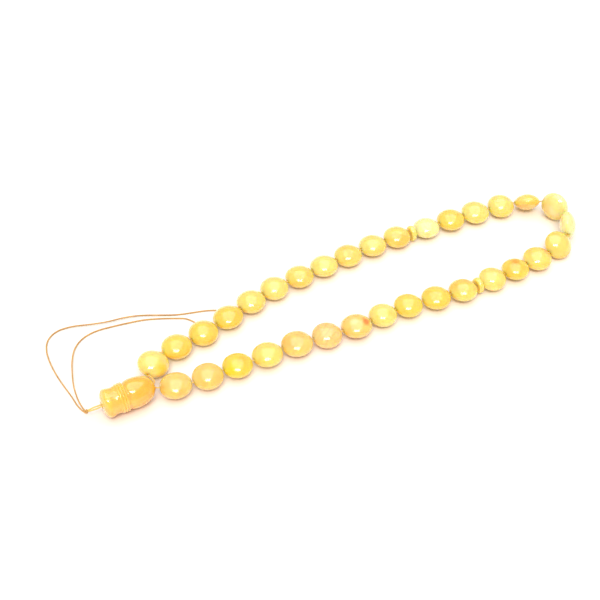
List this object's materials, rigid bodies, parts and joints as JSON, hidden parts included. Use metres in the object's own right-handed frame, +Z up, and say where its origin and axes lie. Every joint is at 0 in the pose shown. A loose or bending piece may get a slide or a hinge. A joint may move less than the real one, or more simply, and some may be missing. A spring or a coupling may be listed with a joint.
{
  "type": "misbaha prayer bead strand",
  "caption": "Loop of flat round prayer beads on a cord, with thin marker discs, a turned leader bead, a knot and loose cord tails.",
  "frame": {"origin": "below the middle of the box around the beads and the leader bead, on the surface the strand lies on", "axes": "+Z up from the surface, +X along the loop from the leader bead towards the far bend, +Y across the loop towards the leg that holds bead 1"},
  "size_m": [0.1888, 0.0543, 0.0106],
  "materials": {
    "amber_lemon": "polished opaque amber, pale lemon",
    "amber_butter": "polished butterscotch amber",
    "amber_honey": "polished honey-coloured amber, slightly clouded",
    "amber_cream": "polished cream amber with growth lines",
    "amber_leader": "turned and polished butterscotch amber",
    "cord": "waxed twisted silk thread"
  },
  "bodies": {
    "leader_bead": {"leader_bead": "amber_leader"},
    "strand": {"cord_leg_a_1": "cord", "cord_leg_b_1": "cord", "knot": "cord", "tail_outer": "cord", "tail_inner": "cord"},
    "loop_section_1": {"cord_leg_a_2": "cord", "cord_leg_b_2": "cord"},
    "loop_section_2": {"cord_leg_a_3": "cord", "cord_leg_b_3": "cord"},
    "loop_section_3": {"cord_leg_a_4": "cord", "cord_leg_b_4": "cord"},
    "loop_section_4": {"cord_leg_a_5": "cord", "cord_leg_b_5": "cord"},
    "loop_section_5": {"cord_bend": "cord"},
    "bead_01": {"bead_01": "amber_lemon"},
    "bead_02": {"bead_02": "amber_honey"},
    "bead_03": {"bead_03": "amber_cream"},
    "bead_04": {"bead_04": "amber_lemon"},
    "bead_05": {"bead_05": "amber_butter"},
    "bead_06": {"bead_06": "amber_honey"},
    "bead_07": {"bead_07": "amber_butter"},
    "bead_08": {"bead_08": "amber_lemon"},
    "bead_09": {"bead_09": "amber_honey"},
    "bead_10": {"bead_10": "amber_lemon"},
    "bead_11": {"bead_11": "amber_honey"},
    "bead_12": {"bead_12": "amber_lemon"},
    "bead_13": {"bead_13": "amber_lemon"},
    "bead_14": {"bead_14": "amber_cream"},
    "bead_15": {"bead_15": "amber_butter"},
    "bead_16": {"bead_16": "amber_honey"},
    "bead_17": {"bead_17": "amber_lemon"},
    "bead_18": {"bead_18": "amber_butter"},
    "bead_19": {"bead_19": "amber_butter"},
    "bead_20": {"bead_20": "amber_cream"},
    "bead_21": {"bead_21": "amber_honey"},
    "bead_22": {"bead_22": "amber_lemon"},
    "bead_23": {"bead_23": "amber_honey"},
    "bead_24": {"bead_24": "amber_honey"},
    "bead_25": {"bead_25": "amber_butter"},
    "bead_26": {"bead_26": "amber_butter"},
    "bead_27": {"bead_27": "amber_butter"},
    "bead_28": {"bead_28": "amber_cream"},
    "bead_29": {"bead_29": "amber_cream"},
    "bead_30": {"bead_30": "amber_butter"},
    "bead_31": {"bead_31": "amber_honey"},
    "bead_32": {"bead_32": "amber_cream"},
    "bead_33": {"bead_33": "amber_cream"},
    "disc_1": {"disc_1": "amber_butter"},
    "disc_2": {"disc_2": "amber_butter"}
  },
  "joints": [
    {"name": "strand_slide", "type": "slide", "parent": "leader_bead", "child": "strand", "axis": [1, 0, 0], "range_m": [0, 0.0035]},
    {"name": "fold_1", "type": "hinge", "parent": "strand", "child": "loop_section_1", "pos_m": [-0.04212, -0.00173, 0.00333], "axis": [0.1989, -0.98, 0], "range_deg": [0, 28]},
    {"name": "fold_2", "type": "hinge", "parent": "loop_section_1", "child": "loop_section_2", "pos_m": [-0.01184, 0.00052, 0.00333], "axis": [0.1861, -0.9825, 0], "range_deg": [0, 28]},
    {"name": "fold_3", "type": "hinge", "parent": "loop_section_2", "child": "loop_section_3", "pos_m": [0.01831, 0.00119, 0.00333], "axis": [0.1786, -0.9839, 0], "range_deg": [0, 28]},
    {"name": "fold_4", "type": "hinge", "parent": "loop_section_3", "child": "loop_section_4", "pos_m": [0.05013, -0.00073, 0.00333], "axis": [0.1708, -0.9853, 0], "range_deg": [0, 28]},
    {"name": "fold_5", "type": "hinge", "parent": "loop_section_4", "child": "loop_section_5", "pos_m": [0.07046, -0.00084, 0.00335], "axis": [0.1704, -0.9854, 0.0017], "range_deg": [0, 28]},
    {"name": "spin_01", "type": "hinge", "parent": "strand", "child": "bead_01", "pos_m": [-0.0685, 0.0016, 0.004], "axis": [0.6688, 0.7427, -0.0333], "continuous": true},
    {"name": "spin_02", "type": "hinge", "parent": "strand", "child": "bead_02", "pos_m": [-0.05901, 0.00536, 0.00333], "axis": [0.9981, 0.0523, -0.0336], "continuous": true},
    {"name": "spin_03", "type": "hinge", "parent": "strand", "child": "bead_03", "pos_m": [-0.04904, 0.00675, 0.00333], "axis": [0.9744, 0.225, 0], "continuous": true},
    {"name": "spin_04", "type": "hinge", "parent": "loop_section_1", "child": "bead_04", "pos_m": [-0.03902, 0.00935, 0.00333], "axis": [0.9613, 0.2756, 0], "continuous": true},
    {"name": "spin_05", "type": "hinge", "parent": "loop_section_1", "child": "bead_05", "pos_m": [-0.02927, 0.01215, 0.00333], "axis": [0.9613, 0.2756, 0], "continuous": true},
    {"name": "spin_06", "type": "hinge", "parent": "loop_section_1", "child": "bead_06", "pos_m": [-0.01955, 0.01413, 0.00333], "axis": [0.9925, 0.1219, 0], "continuous": true},
    {"name": "spin_07", "type": "hinge", "parent": "loop_section_2", "child": "bead_07", "pos_m": [-0.00945, 0.0151, 0.00333], "axis": [0.9976, 0.0698, 0], "continuous": true},
    {"name": "spin_08", "type": "hinge", "parent": "loop_section_2", "child": "bead_08", "pos_m": [0.00048, 0.01571, 0.00333], "axis": [0.9986, 0.0523, 0], "continuous": true},
    {"name": "spin_09", "type": "hinge", "parent": "loop_section_2", "child": "bead_09", "pos_m": [0.01041, 0.01631, 0.00333], "axis": [0.9976, 0.0698, 0], "continuous": true},
    {"name": "spin_10", "type": "hinge", "parent": "loop_section_3", "child": "bead_10", "pos_m": [0.0206, 0.01676, 0.00333], "axis": [0.9998, 0.0175, 0], "continuous": true},
    {"name": "spin_11", "type": "hinge", "parent": "loop_section_3", "child": "bead_11", "pos_m": [0.03054, 0.0165, 0.00333], "axis": [0.9976, -0.0698, 0], "continuous": true},
    {"name": "spin_12", "type": "hinge", "parent": "loop_section_3", "child": "bead_12", "pos_m": [0.04236, 0.01567, 0.00333], "axis": [0.9976, -0.0698, 0], "continuous": true},
    {"name": "spin_13", "type": "hinge", "parent": "loop_section_4", "child": "bead_13", "pos_m": [0.05255, 0.01524, 0.00333], "axis": [0.9998, -0.0175, 0], "continuous": true},
    {"name": "spin_14", "type": "hinge", "parent": "loop_section_4", "child": "bead_14", "pos_m": [0.06275, 0.01443, 0.00333], "axis": [0.9902, -0.1392, 0.0085], "continuous": true},
    {"name": "spin_15", "type": "hinge", "parent": "loop_section_5", "child": "bead_15", "pos_m": [0.07292, 0.01282, 0.0035], "axis": [0.9838, -0.1735, 0.0449], "continuous": true},
    {"name": "spin_16", "type": "hinge", "parent": "loop_section_5", "child": "bead_16", "pos_m": [0.08214, 0.00949, 0.0042], "axis": [0.8616, -0.4974, 0.1011], "continuous": true},
    {"name": "spin_17", "type": "hinge", "parent": "loop_section_5", "child": "bead_17", "pos_m": [0.0885, 0.00164, 0.0054], "axis": [0.3415, -0.9384, 0.0529], "continuous": true},
    {"name": "spin_18", "type": "hinge", "parent": "loop_section_5", "child": "bead_18", "pos_m": [0.08637, -0.00856, 0.0053], "axis": [-0.5859, -0.8064, -0.0808], "continuous": true},
    {"name": "spin_19", "type": "hinge", "parent": "loop_section_5", "child": "bead_19", "pos_m": [0.07806, -0.01412, 0.0038], "axis": [-0.9657, -0.2408, -0.0976], "continuous": true},
    {"name": "spin_20", "type": "hinge", "parent": "loop_section_4", "child": "bead_20", "pos_m": [0.06778, -0.01585, 0.00333], "axis": [-0.9959, -0.0871, -0.0236], "continuous": true},
    {"name": "spin_21", "type": "hinge", "parent": "loop_section_4", "child": "bead_21", "pos_m": [0.05786, -0.01655, 0.00333], "axis": [-0.9986, -0.0523, 0], "continuous": true},
    {"name": "spin_22", "type": "hinge", "parent": "loop_section_3", "child": "bead_22", "pos_m": [0.04802, -0.01681, 0.00333], "axis": [-1, 0, 0], "continuous": true},
    {"name": "spin_23", "type": "hinge", "parent": "loop_section_3", "child": "bead_23", "pos_m": [0.03622, -0.01649, 0.00333], "axis": [-0.9986, 0.0523, 0], "continuous": true},
    {"name": "spin_24", "type": "hinge", "parent": "loop_section_3", "child": "bead_24", "pos_m": [0.02622, -0.01526, 0.00333], "axis": [-0.9816, 0.1908, 0], "continuous": true},
    {"name": "spin_25", "type": "hinge", "parent": "loop_section_2", "child": "bead_25", "pos_m": [0.01608, -0.01391, 0.00333], "axis": [-0.9976, 0.0698, 0], "continuous": true},
    {"name": "spin_26", "type": "hinge", "parent": "loop_section_2", "child": "bead_26", "pos_m": [0.0063, -0.01374, 0.00333], "axis": [-0.9994, -0.0349, 0], "continuous": true},
    {"name": "spin_27", "type": "hinge", "parent": "loop_section_2", "child": "bead_27", "pos_m": [-0.0038, -0.01381, 0.00333], "axis": [-0.9998, 0.0175, 0], "continuous": true},
    {"name": "spin_28", "type": "hinge", "parent": "loop_section_1", "child": "bead_28", "pos_m": [-0.01424, -0.01291, 0.00333], "axis": [-0.9877, 0.1564, 0], "continuous": true},
    {"name": "spin_29", "type": "hinge", "parent": "loop_section_1", "child": "bead_29", "pos_m": [-0.0245, -0.01157, 0.00333], "axis": [-0.9945, 0.1045, 0], "continuous": true},
    {"name": "spin_30", "type": "hinge", "parent": "loop_section_1", "child": "bead_30", "pos_m": [-0.03491, -0.0112, 0.00333], "axis": [-0.9994, -0.0349, 0], "continuous": true},
    {"name": "spin_31", "type": "hinge", "parent": "strand", "child": "bead_31", "pos_m": [-0.04523, -0.01085, 0.00333], "axis": [-0.9945, 0.1045, 0], "continuous": true},
    {"name": "spin_32", "type": "hinge", "parent": "strand", "child": "bead_32", "pos_m": [-0.0553, -0.0105, 0.00333], "axis": [-0.9994, -0.0349, 0], "continuous": true},
    {"name": "spin_33", "type": "hinge", "parent": "strand", "child": "bead_33", "pos_m": [-0.06555, -0.00922, 0.00333], "axis": [-0.9613, 0.2756, 0], "continuous": true},
    {"name": "spin_disc_1", "type": "hinge", "parent": "loop_section_3", "child": "disc_1", "pos_m": [0.03647, 0.01609, 0.0029], "axis": [0.9976, -0.0698, 0], "continuous": true},
    {"name": "spin_disc_2", "type": "hinge", "parent": "loop_section_3", "child": "disc_2", "pos_m": [0.04222, -0.01678, 0.0029], "axis": [0.9997, -0.0262, 0], "continuous": true}
  ]
}
